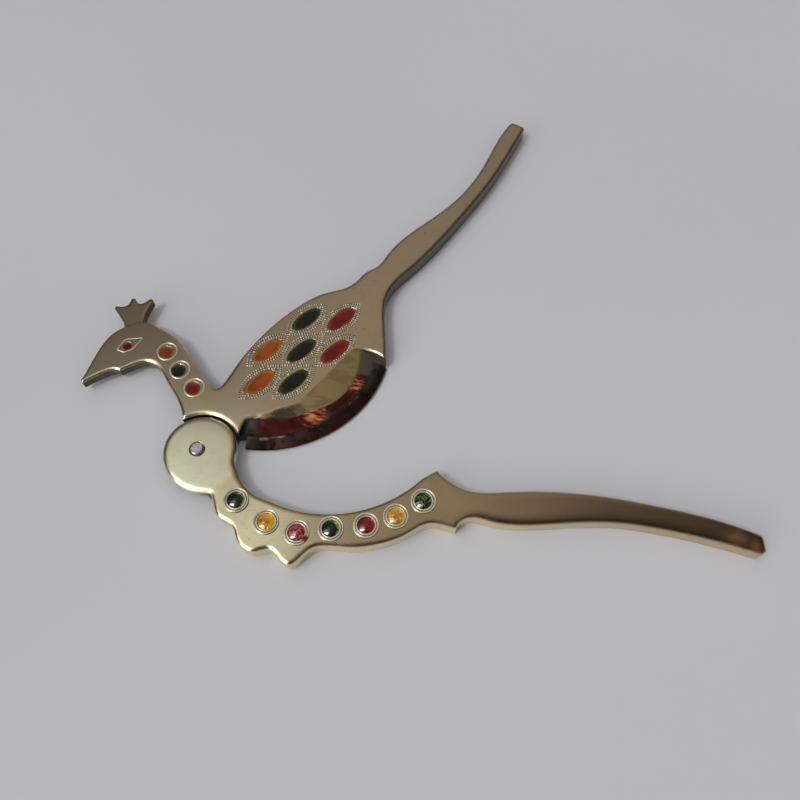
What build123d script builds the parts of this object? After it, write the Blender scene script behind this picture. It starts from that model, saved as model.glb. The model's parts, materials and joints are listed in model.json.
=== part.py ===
"""Peacock-shaped brass betel-nut cutter: two lapped arms on one rivet, with a steel blade.

The cutter lies flat and open. +Z is up, the underside is on z = 0, and the origin is under
the middle of the whole tool. Every outline is drawn from the rivet's axis, in millimetres.
"""
import os
from math import cos, radians, sin, tan

from build123d import *

os.makedirs("parts", exist_ok=True)

# Overall size
BEAK_TIP = (-41.8, 24.6)
HANDLE_TIP_X = 172.9
BIRD_HANDLE_TOP_Y = 141.2
LOWER_POINT = (31.4, -36.7)
THICKNESS = 6.0

# The rivet's axis stands here, so that the origin is under the middle of the tool
PIVOT_X = -(BEAK_TIP[0] + HANDLE_TIP_X) / 2
PIVOT_Y = -(LOWER_POINT[1] + BIRD_HANDLE_TOP_Y) / 2

# Half-lap joint
LAP_Z = THICKNESS / 2
LAP_GAP = 0.1
DISC_RADIUS = 11.7
DISC_CENTRE = (0.7, -0.3)
RECESS_RADIUS = 12.7
RECESS_CENTRE = (0.75, -0.55)
TANG_RADIUS = 11.3
TANG_POCKET_RADIUS = 11.9

# Rivet
RIVET_RADIUS = 2.0
RIVET_CLEARANCE = 0.06
RIVET_PROUD = 0.7
RIVET_CHAMFER = 0.25
RIVET_HEAD_RADIUS = 3.3
RIVET_HEAD_HEIGHT = 0.8
HEAD_CLEARANCE = 0.1
WORN_HOLE_RADIUS = 2.55
WORN_HOLE_DEPTH = 1.2

# Edge rounding
BIRD_EDGE = 0.7
LOWER_EDGE = 1.1

# Head, thinner than the body, with the crown as a still thinner tab
HEAD_RELIEF = 2.4
RELIEF_ANGLE = 128.5
RELIEF_START = 18.0
RELIEF_FULL = 36.0
RELIEF_SIDE = 17.2
CROWN_STEP = 0.9

# Blade: everything on it turns about one centre, measured out from the rivet
BLADE_CENTRE_DISTANCE = 47.1
BLADE_CENTRE_ANGLE = 65.1
BLADE_RADIUS = 41.2
BLADE_ROOT_RADIUS = 30.5
BLADE_BOTTOM = 0.8
BLADE_THICKNESS = 2.0
BLADE_EDGE_FLAT = 0.15
BLADE_ANGLES = (-98.0, -15.5)

# Belly bevels above the blade
BELLY_RADIUS = 37.4
LIP_RADIUS = 36.4
STRIP_TOP_RADIUS = 29.5
STRIP_SLOPE = 26.0
RIDGE_LEFT = (14.2, 10.2)
RIDGE_CORNER = (31.0, 16.3)
RIDGE_RIGHT = (48.0, 36.3)
SHOULDER_END = (59.5, 32.4)
BACK_FACET_SLOPE = 11.0
FRONT_FACET_SLOPE = 13.0

# Anvil edge of the lower arm: the blade's circle, turned shut
CLOSING_ANGLE = 38.6
ANVIL_RADIUS = 42.0
GUARD_TIP = (81.0, -25.7)
LAP_STEP = [
    (4.6, -16), (4.6, -8), (9.1, -7.6), (11.4, -9.7), (16, -9.7), (16, 16), (-16, 16),
    (-16, -16),
]

# Enamel in the bird: flush fillings in sunk pockets
POCKET_DEPTH = 0.7
ENAMEL_SINK = 0.05
LEAF_LENGTH = 12.0
LEAF_WIDTH = 5.3
LEAF_ANGLE = 44.0
LEAF_CENTRES = [
    (31.8, 48.2), (43.8, 48.2),
    (19.4, 35.7), (30.8, 35.7), (42.1, 35.4),
    (17.8, 23.8), (28.8, 23.9),
]
NECK_DOT_RADIUS = 2.45
NECK_DOT_CENTRES = [(-14.9, 35.1), (-9.7, 28.1), (-4.1, 21.4)]
EYE_RADIUS = 1.6
EYE_CENTRE = (-28.3, 37.5)

# Stones and their bezels on the lower arm
STONE_RADIUS = 2.6
STONE_SEAT = 1.0
STONE_WALL = 0.35
STONE_HEIGHT = 0.85
BEZEL_RADIUS = 3.95
BEZEL_HEIGHT = 0.75
BEZEL_WAIST = 0.3
BEZEL_OUTER_BEAD = 3.6
BEZEL_VALLEY = 3.25
BEZEL_INNER_BEAD = 2.9
STONE_CENTRES = [
    (14.0, -16.9), (23.7, -23.7), (33.1, -27.0), (43.3, -25.8),
    (53.9, -24.8), (62.8, -22.0), (71.2, -17.2),
]


def level(z):
    """The horizontal plane at height z, with its origin on the rivet's axis."""
    return Plane((PIVOT_X, PIVOT_Y, z))


def polar(distance, angle):
    """The point at this distance from the rivet, at this angle from +X."""
    return (distance * cos(radians(angle)), distance * sin(radians(angle)))


BLADE_CENTRE = polar(BLADE_CENTRE_DISTANCE, BLADE_CENTRE_ANGLE)
ANVIL_CENTRE = polar(BLADE_CENTRE_DISTANCE, BLADE_CENTRE_ANGLE - CLOSING_ANGLE)


def around_blade(angle):
    """The upright plane through the blade's centre, its x pointing outwards at this angle."""
    outwards = polar(1.0, angle)
    centre = (PIVOT_X + BLADE_CENTRE[0], PIVOT_Y + BLADE_CENTRE[1], 0)
    return Plane(centre, x_dir=(*outwards, 0), z_dir=(outwards[1], -outwards[0], 0))


def turned_about_blade(profile, start_angle, end_angle):
    """A solid turned about the blade's centre, from a profile of (radius, height) points."""
    with BuildPart() as turned:
        with BuildSketch(around_blade(start_angle)):
            with BuildLine():
                Polyline(*profile, close=True)
            make_face()
        revolve(
            axis=Axis(around_blade(start_angle).origin, (0, 0, 1)),
            revolution_arc=end_angle - start_angle,
        )
    return turned.part


def on_circle(centre, radius, angle):
    """The point of a circle at this angle from +X."""
    x, y = polar(radius, angle)
    return (centre[0] + x, centre[1] + y)


# The bird's outline meets the round recess over the lower arm's disc at these angles
RECESS_RIGHT = on_circle(RECESS_CENTRE, RECESS_RADIUS, 27.5)
RECESS_TOP = on_circle(RECESS_CENTRE, RECESS_RADIUS, 75.0)
RECESS_LEFT = on_circle(RECESS_CENTRE, RECESS_RADIUS, 122.0)


def bird_outline():
    """Chest, beak, back, handle and belly, from the recess's left end to its right end."""
    beak_below = (-41.0, 23.6)
    handle_end = [(107.7, 139.9), (108.9, BIRD_HANDLE_TOP_Y), (109.9, 141.1), (113.6, 138.8)]
    tail = (59.3, 32.6)
    belly_right = on_circle(BLADE_CENTRE, BELLY_RADIUS, BLADE_ANGLES[1])
    belly_middle = on_circle(BLADE_CENTRE, BELLY_RADIUS, -60.0)
    belly_left = on_circle(BLADE_CENTRE, BELLY_RADIUS, -96.0)
    Spline(
        RECESS_LEFT, (-8.8, 17.6), (-13.2, 24.4), (-16.5, 29.3), (-20.4, 31.6),
        (-25.4, 30.3), (-29.4, 28.2),
    )
    Spline((-29.4, 28.2), (-30.9, 28.6), (-34.5, 27.5), (-38.6, 25.2), beak_below)
    Line(beak_below, BEAK_TIP)
    Spline(
        BEAK_TIP, (-39.4, 31.6), (-37.2, 37.9), (-34.9, 41.9), (-30.6, 45.4), (-24.2, 47.3),
        (-18.2, 44.7), (-12.7, 41.3), (-6.2, 32.8), (0.2, 24.2), (3.5, 21.7), (7.4, 26.6),
        (13.2, 36.8), (22.6, 48.3), (29.2, 54.2), (37.2, 59.1), (46.8, 62.7), (49.6, 65.5),
        (52.2, 68.4), (55.2, 70.2), (60.0, 76.7), (68.3, 86.1), (82.7, 98.8), (95.3, 116.0),
        (103.1, 132.2), handle_end[0],
    )
    Line(handle_end[0], handle_end[1])
    Line(handle_end[1], handle_end[2])
    Line(handle_end[2], handle_end[3])
    Line(handle_end[3], (113.7, 138.0))
    Spline((113.7, 138.0), (108.7, 128.2), (100.7, 113.4), (84.6, 89.8), (68.6, 70.3),
           (61.3, 62.0), (58.9, 56.0), (58.6, 50.0), (59.1, 40.0), tail)
    Line(tail, belly_right)
    ThreePointArc(belly_right, belly_middle, belly_left)
    Line(belly_left, RECESS_RIGHT)


def crown_outline():
    """The three-pointed crown, from its right foot round to its left foot and back."""
    Polyline((-24.0, 44.5), (-24.7, 47.5), (-24.4, 51.0), (-22.6, 56.2))
    ThreePointArc((-22.6, 56.2), (-23.1, 57.0), (-24.1, 56.8))
    Spline((-24.1, 56.8), (-25.4, 55.6), (-26.9, 55.1), (-28.2, 55.8), (-28.8, 56.9))
    ThreePointArc((-28.8, 56.9), (-29.6, 57.3), (-30.3, 56.8))
    Spline((-30.3, 56.8), (-30.8, 55.2), (-31.8, 54.2), (-33.2, 53.9), (-34.7, 54.1))
    ThreePointArc((-34.7, 54.1), (-35.4, 53.7), (-35.3, 52.9))
    Polyline((-35.3, 52.9), (-33.1, 50.0), (-31.1, 47.0), (-30.6, 43.5), (-24.0, 44.5))


def lower_outline():
    """Disc, scalloped edge, guard, handle and anvil edge, clockwise from the disc's left."""
    disc_left = on_circle(DISC_CENTRE, DISC_RADIUS, 205.0)
    disc_top = on_circle(DISC_CENTRE, DISC_RADIUS, 90.0)
    disc_right = on_circle(DISC_CENTRE, DISC_RADIUS, -8.0)
    lap_corner = (5.8, -14.7)
    handle_low = (171.4, -33.6)
    handle_high = (172.3, -27.6)
    peak = (75.7, -6.9)
    anvil_outer = on_circle(ANVIL_CENTRE, ANVIL_RADIUS, -47.0)
    anvil_middle = on_circle(ANVIL_CENTRE, ANVIL_RADIUS, -80.0)
    anvil_inner = on_circle(ANVIL_CENTRE, ANVIL_RADIUS, -114.0)
    Spline(
        disc_left, (-5.5, -11.1), (0.0, -13.8), lap_corner,
        tangents=[polar(1.0, 295.0), polar(1.0, -8.0)],
    )
    Spline(
        lap_corner, (7.2, -18.6), (9.0, -22.1), (11.7, -23.6), (13.6, -25.3), (14.9, -28.6),
        (17.3, -31.6), (20.6, -32.8), (25.0, -32.0), (28.4, -35.0), LOWER_POINT,
        (34.4, -34.7), (38.2, -31.6), (42.5, -31.0), (50.0, -31.5), (57.0, -30.7),
        (66.5, -27.3), (73.4, -24.1), (77.5, -24.8), GUARD_TIP,
    )
    Spline(
        GUARD_TIP, (82.6, -23.6), (85.3, -22.4), (91.0, -23.4), (98.0, -24.6), (108.0, -24.5),
        (122.0, -23.8), (131.0, -24.1), (142.2, -25.8), (154.0, -28.4), handle_low,
    )
    Polyline(handle_low, (HANDLE_TIP_X, -32.6), (HANDLE_TIP_X + 0.1, -28.6), handle_high)
    Spline(
        handle_high, (155.0, -21.4), (143.2, -18.6), (131.4, -16.2), (119.3, -14.5),
        (108.0, -13.8), (98.0, -13.9), (91.0, -14.2), (85.6, -13.6), (80.6, -11.3), peak,
    )
    Line(peak, anvil_outer)
    ThreePointArc(anvil_outer, anvil_middle, anvil_inner)
    Spline(
        anvil_inner, (20.4, -15.5), (17.3, -13.4), (14.9, -10.6), (13.1, -6.8), disc_right,
        tangents=[polar(1.0, 156.0), polar(1.0, 82.0)],
    )
    ThreePointArc(disc_right, disc_top, disc_left)


def over_blade(edge):
    """True for the outline's edges that the belly bevels take off anyway."""
    return edge.center().X > PIVOT_X + RIDGE_LEFT[0] - 1 and edge.center().Y < PIVOT_Y + 33


def facet_plane(start, end, slope):
    """The plane that falls away from the ridge line between two points of the top face."""
    ridge = Vector(end[0] - start[0], end[1] - start[1], 0)
    down = Vector(ridge.Y, -ridge.X, 0).normalized() * cos(radians(slope))
    down -= Vector(0, 0, sin(radians(slope)))
    origin = (PIVOT_X + start[0], PIVOT_Y + start[1], THICKNESS)
    return Plane(origin, x_dir=ridge, z_dir=down.cross(ridge))


def strip_height(radius):
    """Height of the steep bevel at this distance from the blade's centre."""
    return BLADE_BOTTOM + BLADE_THICKNESS + (BELLY_RADIUS - radius) * tan(radians(STRIP_SLOPE))


# The belly's ground area in plan: the ridge, then the curved shoulder at the tail
with BuildPart() as belly_zone:
    with BuildSketch(level(-1)):
        with BuildLine():
            Polyline((12.6, 5.6), RIDGE_LEFT, RIDGE_CORNER, RIDGE_RIGHT)
            ThreePointArc(RIDGE_RIGHT, (53.6, 35.7), SHOULDER_END)
            Polyline(SHOULDER_END, (70, 26), (70, -10), (12.6, -10), (12.6, 5.6))
        make_face()
    extrude(amount=THICKNESS + 2)

with BuildPart() as back_facet_cutter:
    add(belly_zone.part)
    split(bisect_by=facet_plane(RIDGE_CORNER, RIDGE_RIGHT, BACK_FACET_SLOPE), keep=Keep.TOP)

with BuildPart() as front_facet_cutter:
    add(belly_zone.part)
    split(bisect_by=facet_plane(RIDGE_LEFT, RIDGE_CORNER, FRONT_FACET_SLOPE), keep=Keep.TOP)

outside = BELLY_RADIUS + 4
strip_profile = [
    (STRIP_TOP_RADIUS, strip_height(STRIP_TOP_RADIUS)),
    (outside, strip_height(outside)),
    (outside, THICKNESS + 2),
    (STRIP_TOP_RADIUS, THICKNESS + 2),
]
with BuildPart() as strip_cutter:
    add(turned_about_blade(strip_profile, -102, 8))
    add(belly_zone.part, mode=Mode.INTERSECT)

# The side plane of the relief: x along the neck, y up, its normal towards the bird's back
along_neck = polar(1.0, RELIEF_ANGLE)
to_the_back = (along_neck[1], -along_neck[0])
relief_plane = Plane(
    (PIVOT_X + RELIEF_SIDE * to_the_back[0], PIVOT_Y + RELIEF_SIDE * to_the_back[1], 0),
    x_dir=(*along_neck, 0),
    z_dir=(*to_the_back, 0),
)
with BuildPart() as head_relief:
    with BuildSketch(relief_plane):
        with BuildLine():
            Polyline(
                (RELIEF_START, 0), (RELIEF_FULL, HEAD_RELIEF), (80, HEAD_RELIEF),
                (80, -1), (RELIEF_START, -1), close=True,
            )
        make_face()
    extrude(amount=-60)

slot_profile = [
    (BLADE_ROOT_RADIUS, BLADE_BOTTOM),
    (outside, BLADE_BOTTOM),
    (outside, BLADE_BOTTOM + BLADE_THICKNESS),
    (BLADE_ROOT_RADIUS, BLADE_BOTTOM + BLADE_THICKNESS),
]
lip_profile = [
    (LIP_RADIUS, -1), (outside, -1), (outside, BLADE_BOTTOM), (LIP_RADIUS, BLADE_BOTTOM),
]
blade_profile = [
    (BLADE_ROOT_RADIUS, BLADE_BOTTOM),
    (BLADE_RADIUS, BLADE_BOTTOM),
    (BLADE_RADIUS, BLADE_BOTTOM + BLADE_EDGE_FLAT),
    (BELLY_RADIUS, BLADE_BOTTOM + BLADE_THICKNESS),
    (BLADE_ROOT_RADIUS, BLADE_BOTTOM + BLADE_THICKNESS),
]

# The upper arm is a bird whose tail is the handle. Its top layer stops at a round recess
# over the lower arm's disc, and its bottom layer goes on under the disc as a round tang.
with BuildPart() as upper_arm:
    with BuildSketch(level(LAP_Z)):
        with BuildLine():
            bird_outline()
            ThreePointArc(RECESS_RIGHT, RECESS_TOP, RECESS_LEFT)
        make_face()
    extrude(amount=THICKNESS - LAP_Z)
    top_edges = upper_arm.edges().group_by(Axis.Z)[-1]
    fillet([edge for edge in top_edges if not over_blade(edge)], radius=BIRD_EDGE)
    extrude(upper_arm.faces().sort_by(Axis.Z)[0], amount=LAP_Z)
    with BuildSketch(level(HEAD_RELIEF)):
        with BuildLine():
            crown_outline()
        make_face()
    extrude(amount=THICKNESS - CROWN_STEP - HEAD_RELIEF)
    add(head_relief.part, mode=Mode.SUBTRACT)
    with BuildSketch(level(0)):
        Circle(TANG_RADIUS)
        with BuildLine():
            Polyline(RECESS_LEFT, (-8, 0), (8, -6), RECESS_RIGHT, (20, 24), (0, 18), close=True)
        make_face(mode=Mode.ADD)
    extrude(amount=LAP_Z - LAP_GAP / 2)
    add(back_facet_cutter.part, mode=Mode.SUBTRACT)
    add(front_facet_cutter.part, mode=Mode.SUBTRACT)
    add(strip_cutter.part, mode=Mode.SUBTRACT)
    add(turned_about_blade(slot_profile, *BLADE_ANGLES), mode=Mode.SUBTRACT)
    add(turned_about_blade(lip_profile, *BLADE_ANGLES), mode=Mode.SUBTRACT)
    with BuildSketch(level(THICKNESS)):
        with Locations(*LEAF_CENTRES):
            Ellipse(LEAF_LENGTH / 2, LEAF_WIDTH / 2, rotation=LEAF_ANGLE)
        with Locations(*NECK_DOT_CENTRES):
            Circle(NECK_DOT_RADIUS)
        with Locations(EYE_CENTRE):
            Circle(EYE_RADIUS)
    extrude(amount=-POCKET_DEPTH, mode=Mode.SUBTRACT)
    with Locations(Plane((PIVOT_X, PIVOT_Y, 0), z_dir=(0, 0, -1))):
        CounterBoreHole(
            RIVET_RADIUS + RIVET_CLEARANCE,
            RIVET_HEAD_RADIUS + HEAD_CLEARANCE,
            RIVET_HEAD_HEIGHT + 2 * HEAD_CLEARANCE,
            depth=THICKNESS,
        )
upper_arm.part.label = "upper_arm"
export_step(upper_arm.part, "parts/upper_arm.step")

# The steel blade: a crescent let into the belly's edge, ground to a slope above
with BuildPart() as blade:
    add(turned_about_blade(blade_profile, *BLADE_ANGLES))
blade.part.label = "blade"
export_step(blade.part, "parts/blade.step")


def enamel_piece(name, centre, draw_face):
    """One enamel filling: its pocket's shape, a little below the brass."""
    with BuildPart() as enamel:
        with BuildSketch(level(THICKNESS - POCKET_DEPTH)):
            with Locations(centre):
                draw_face()
        extrude(amount=POCKET_DEPTH - ENAMEL_SINK)
    enamel.part.label = name
    export_step(enamel.part, f"parts/{name}.step")


for number, centre in enumerate(LEAF_CENTRES, start=1):
    enamel_piece(
        f"leaf_enamel_{number}", centre,
        lambda: Ellipse(LEAF_LENGTH / 2, LEAF_WIDTH / 2, rotation=LEAF_ANGLE),
    )
for number, centre in enumerate(NECK_DOT_CENTRES, start=1):
    enamel_piece(f"neck_enamel_{number}", centre, lambda: Circle(NECK_DOT_RADIUS))
enamel_piece("eye_enamel", EYE_CENTRE, lambda: Circle(EYE_RADIUS))

# The lower arm: a disc over the tang, the studded anvil arm and its handle
with BuildPart() as lower_arm:
    with BuildSketch(level(0)):
        with BuildLine():
            lower_outline()
        make_face()
    extrude(amount=THICKNESS)
    fillet(lower_arm.edges().group_by(Axis.Z)[-1], radius=LOWER_EDGE)
    with BuildSketch(level(0)):
        Circle(TANG_POCKET_RADIUS)
        with BuildLine():
            Polyline(*LAP_STEP, close=True)
        make_face(mode=Mode.ADD)
    extrude(amount=LAP_Z + LAP_GAP / 2, mode=Mode.SUBTRACT)
    with BuildSketch(level(THICKNESS)):
        with Locations(*STONE_CENTRES):
            Circle(STONE_RADIUS)
    extrude(amount=-STONE_SEAT, mode=Mode.SUBTRACT)
    with Locations(level(THICKNESS)):
        CounterBoreHole(RIVET_RADIUS, WORN_HOLE_RADIUS, WORN_HOLE_DEPTH, depth=THICKNESS)
lower_arm.part.label = "lower_arm"
export_step(lower_arm.part, "parts/lower_arm.step")

# The rivet: a flat head let into the tang, and a shank peened over above the disc
with BuildPart() as pivot_rivet:
    with BuildSketch(level(HEAD_CLEARANCE)):
        Circle(RIVET_HEAD_RADIUS)
    extrude(amount=RIVET_HEAD_HEIGHT)
    with BuildSketch(level(HEAD_CLEARANCE)):
        Circle(RIVET_RADIUS)
    extrude(amount=THICKNESS + RIVET_PROUD - HEAD_CLEARANCE)
    chamfer(pivot_rivet.edges().group_by(Axis.Z)[-1], length=RIVET_CHAMFER)
pivot_rivet.part.label = "pivot_rivet"
export_step(pivot_rivet.part, "parts/pivot_rivet.step")

for number, centre in enumerate(STONE_CENTRES, start=1):
    stone_top = (PIVOT_X + centre[0], PIVOT_Y + centre[1], THICKNESS)
    stone_plane = Plane(stone_top, x_dir=(1, 0, 0), z_dir=(0, -1, 0))
    with BuildPart() as stone:
        with BuildSketch(stone_plane):
            with BuildLine():
                TangentArc((0, STONE_HEIGHT), (STONE_RADIUS, STONE_WALL), tangent=(1, 0))
                Polyline(
                    (STONE_RADIUS, STONE_WALL), (STONE_RADIUS, -STONE_SEAT), (0, -STONE_SEAT),
                    (0, STONE_HEIGHT),
                )
            make_face()
        revolve(axis=Axis(stone_plane.origin, (0, 0, 1)))
    stone.part.label = f"stone_{number}"
    export_step(stone.part, f"parts/stone_{number}.step")

    # A bezel is two rolled beads, the inner one pushed against its stone
    with BuildPart() as bezel:
        with BuildSketch(stone_plane):
            with BuildLine():
                Polyline((STONE_RADIUS, BEZEL_WAIST), (STONE_RADIUS, 0), (BEZEL_RADIUS, 0))
                Spline(
                    (BEZEL_RADIUS, 0), (BEZEL_OUTER_BEAD, BEZEL_HEIGHT * 0.8),
                    (BEZEL_VALLEY, BEZEL_WAIST), (BEZEL_INNER_BEAD, BEZEL_HEIGHT),
                    (STONE_RADIUS, BEZEL_WAIST),
                )
            make_face()
        revolve(axis=Axis(stone_plane.origin, (0, 0, 1)))
    bezel.part.label = f"stone_bezel_{number}"
    export_step(bezel.part, f"parts/stone_bezel_{number}.step")
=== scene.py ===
"""Looks of the bird-shaped brass nut cutter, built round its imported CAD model.

The CAD nodes keep their shapes and get detailed materials. The beaded borders, the rings, the
eye's rim, the pools of enamel and the domed stones are mesh pieces of their own, each riding on
the arm that carries it.
"""
import json
import random
from math import atan2, cos, exp, radians, sin, tau

import bmesh
import bpy
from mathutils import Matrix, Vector
from mathutils.bvhtree import BVHTree


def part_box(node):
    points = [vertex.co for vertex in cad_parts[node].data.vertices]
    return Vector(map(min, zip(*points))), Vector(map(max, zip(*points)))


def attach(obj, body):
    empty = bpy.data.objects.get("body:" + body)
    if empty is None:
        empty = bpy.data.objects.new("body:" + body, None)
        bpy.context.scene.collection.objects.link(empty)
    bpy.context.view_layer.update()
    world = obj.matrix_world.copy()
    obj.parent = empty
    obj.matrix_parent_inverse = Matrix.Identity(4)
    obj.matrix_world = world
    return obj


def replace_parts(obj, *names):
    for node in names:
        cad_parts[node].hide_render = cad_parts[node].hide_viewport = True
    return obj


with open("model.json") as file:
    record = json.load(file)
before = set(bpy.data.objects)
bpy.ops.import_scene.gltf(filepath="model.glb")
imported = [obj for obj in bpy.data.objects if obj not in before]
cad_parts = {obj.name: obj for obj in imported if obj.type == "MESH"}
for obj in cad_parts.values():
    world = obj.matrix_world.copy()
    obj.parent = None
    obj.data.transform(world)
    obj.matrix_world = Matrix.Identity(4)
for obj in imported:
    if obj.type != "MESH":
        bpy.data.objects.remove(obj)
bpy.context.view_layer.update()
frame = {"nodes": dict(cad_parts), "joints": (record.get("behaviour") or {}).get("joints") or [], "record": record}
nodes = frame["nodes"]
slots = {entry["node"]: entry["material_slot"] for entry in frame["record"]["subparts"]}
random.seed(7)

MM = 0.001
PIVOT = Vector(frame["joints"][0]["pos_m"])
UPPER_BODY = "bird_arm"
LOWER_BODY = "lower_arm"
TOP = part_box("upper_arm")[1].z
BLADE_CENTRE = PIVOT.xy + Vector((19.83, 42.72)) * MM


def centre_of(node):
    """The middle of a node in plan, at the height of the arms' top face."""
    low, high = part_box(node)
    return Vector(((low.x + high.x) / 2, (low.y + high.y) / 2, TOP))


# ---------------------------------------------------------------- node trees
def add_node(tree, kind, inputs=None, **settings):
    """Adds a shader node; an input given as a socket is linked, any other is a plain value."""
    made = tree.nodes.new(kind)
    for name, value in settings.items():
        setattr(made, name, value)
    for name, value in (inputs or {}).items():
        if isinstance(value, bpy.types.NodeSocket):
            tree.links.new(value, made.inputs[name])
        else:
            made.inputs[name].default_value = value
    return made


def new_material(name):
    """Returns a new material, its node tree and its shader."""
    material = bpy.data.materials.new(name)
    material.use_nodes = True
    return material, material.node_tree, material.node_tree.nodes["Principled BSDF"]


def set_inputs(tree, shader, **values):
    """Sets or links the shader's inputs, named in lower case with underscores."""
    for name, value in values.items():
        socket = shader.inputs[name.replace("_", " ").title().replace("Ior", "IOR")]
        if isinstance(value, bpy.types.NodeSocket):
            tree.links.new(value, socket)
        else:
            socket.default_value = value


def place(tree, scale=(1, 1, 1), turn=0.0):
    """Object coordinates in metres, stretched and turned about Z."""
    where = add_node(tree, "ShaderNodeTexCoord").outputs["Object"]
    return add_node(
        tree, "ShaderNodeMapping", {"Vector": where, "Rotation": (0, 0, turn), "Scale": scale}
    ).outputs[0]


def noise(tree, where, scale, detail=3.0, roughness=0.55):
    """Soft noise, mostly between 0.3 and 0.7."""
    settings = {"Vector": where, "Scale": scale, "Detail": detail, "Roughness": roughness}
    return add_node(tree, "ShaderNodeTexNoise", settings).outputs["Fac"]


def remap(tree, value, low, high, to_low=0.0, to_high=1.0):
    """Takes low to to_low and high to to_high, smooth between and held beyond both."""
    return add_node(
        tree, "ShaderNodeMapRange", {0: value, 1: low, 2: high, 3: to_low, 4: to_high},
        interpolation_type="SMOOTHSTEP",
    ).outputs[0]


def wobble(tree, scale, reach, detail=3, roughness=0.6):
    """Noise from -reach to reach, which makes an edge ragged when it is added to a distance."""
    waves = noise(tree, place(tree), scale, detail, roughness)
    return remap(tree, waves, 0.3, 0.7, -reach, reach)


def calculate(tree, operation, *values):
    """Joins two or more values, each a socket or a plain number, by one operation."""
    result = values[0]
    for value in values[1:]:
        joined = add_node(tree, "ShaderNodeMath", {0: result, 1: value}, operation=operation)
        result = joined.outputs[0]
    return result


def between(tree, value, start, end):
    """1 where a value lies past a soft start and short of a soft end, each a range for remap."""
    return calculate(tree, "MULTIPLY", remap(tree, value, *start), remap(tree, value, *end))


def blend_colours(tree, share, first, second):
    """Two colours, mixed by share: each a socket or a plain (r, g, b)."""
    mixer = add_node(tree, "ShaderNodeMix", {0: share}, data_type="RGBA")
    for socket, colour in ((mixer.inputs[6], first), (mixer.inputs[7], second)):
        if isinstance(colour, bpy.types.NodeSocket):
            tree.links.new(colour, socket)
        else:
            socket.default_value = (*colour, 1)
    return mixer.outputs[2]


def bump(tree, height, depth, strength=1.0, normal=None):
    """The normal of a surface that height raises by up to depth, in metres."""
    inputs = {"Height": height, "Distance": depth, "Strength": strength}
    if normal is not None:
        inputs["Normal"] = normal
    return add_node(tree, "ShaderNodeBump", inputs).outputs[0]


def distance_from(tree, point):
    """Distance in plan from a point, in metres."""
    where = add_node(tree, "ShaderNodeTexCoord").outputs["Object"]
    offset = add_node(
        tree, "ShaderNodeVectorMath", {0: where, 1: point}, operation="SUBTRACT"
    ).outputs[0]
    in_plan = add_node(
        tree, "ShaderNodeVectorMath", {0: offset, 1: (1, 1, 0)}, operation="MULTIPLY"
    ).outputs[0]
    return add_node(
        tree, "ShaderNodeVectorMath", {0: in_plan}, operation="LENGTH"
    ).outputs["Value"]


def axis_value(tree, axis):
    """One object coordinate, in metres: 0 for x, 1 for y, 2 for z."""
    where = add_node(tree, "ShaderNodeTexCoord").outputs["Object"]
    return add_node(tree, "ShaderNodeSeparateXYZ", {0: where}).outputs[axis]


def near_point(tree, x, y, reach, soft=0.3, ragged=0.0):
    """1 well within reach of a place, 0 beyond it: all in millimetres, from the rivet.

    soft is the share of the reach that the rim takes up, and ragged is how far the rim strays.
    """
    away = distance_from(tree, (PIVOT.x + x * MM, PIVOT.y + y * MM, 0))
    if ragged:
        away = calculate(tree, "ADD", away, wobble(tree, 600, ragged * MM))
    return remap(tree, away, reach * MM, reach * MM * (1 - soft))


def eased_edges(tree, radius):
    """The surface's normal with every sharp edge eased, as filing and buffing leave it."""
    return add_node(tree, "ShaderNodeBevel", {"Radius": radius}, samples=6).outputs[0]


def eased_axes(tree, radius):
    """The eased normal as three outputs: "X", "Y" and "Z"."""
    return add_node(tree, "ShaderNodeSeparateXYZ", {0: eased_edges(tree, radius)}).outputs


def levelness(tree):
    """1 on a level face, 0 on an upright side."""
    normal = add_node(tree, "ShaderNodeNewGeometry").outputs["True Normal"]
    upward = add_node(tree, "ShaderNodeSeparateXYZ", {0: normal}).outputs[2]
    return add_node(tree, "ShaderNodeMath", {0: upward}, operation="ABSOLUTE").outputs[0]


def tint(tree, shader, share, colour):
    """Lays another colour over the shader's present one, by share."""
    present = shader.inputs["Base Color"].links[0].from_socket
    set_inputs(tree, shader, base_color=blend_colours(tree, share, present, colour))


# ---------------------------------------------------------------- brass
UPPER_PALE = (0.93, 0.81, 0.55)
UPPER_BROWN = (0.69, 0.59, 0.46)
LOWER_PALE = (0.91, 0.79, 0.5)
LOWER_BROWN = (0.62, 0.48, 0.31)
DISC_YELLOW = (0.99, 0.94, 0.68)
FACET_YELLOW = (1.0, 0.86, 0.45)
FILED_BROWN = (0.66, 0.47, 0.27)
# Nearly black: tarnish on unpolished sides together with painted shade; also the painted dark band on the handle's
# front edge
TARNISH_AND_SHADE_BLACK = (0.04, 0.033, 0.026)
# Painted shade: the dark band on the steep bevel
BAND_SHADE = (0.05, 0.04, 0.035)
# Painted shade at the blade's heel
BRASS_HEEL_SHADE = (0.045, 0.038, 0.03)
# Painted dark grey-green reflection on the bevel facets
BEVEL_DARK_REFLECTION = (0.2, 0.21, 0.17)
# Painted shade in recesses: the joint's pocket and the ring round the rivet
RECESS_SHADE = (0.02, 0.017, 0.012)
COPPER_STAIN = (0.55, 0.2, 0.1)
# Painted orange reflection on the handle's tip
TIP_ORANGE_REFLECTION = (1.0, 0.47, 0.17)
# Painted dark red reflection along the handle's right edge
EDGE_LINE_REFLECTION = (0.16, 0.035, 0.025)
# Painted reflection on the steep bevel: dark red, with painted orange highlights
BEVEL_DEEP_RED_REFLECTION = (0.045, 0.009, 0.008)
BEVEL_RED_REFLECTION = (0.13, 0.017, 0.013)
ORANGE_HIGHLIGHT = (0.95, 0.34, 0.14)

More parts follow.
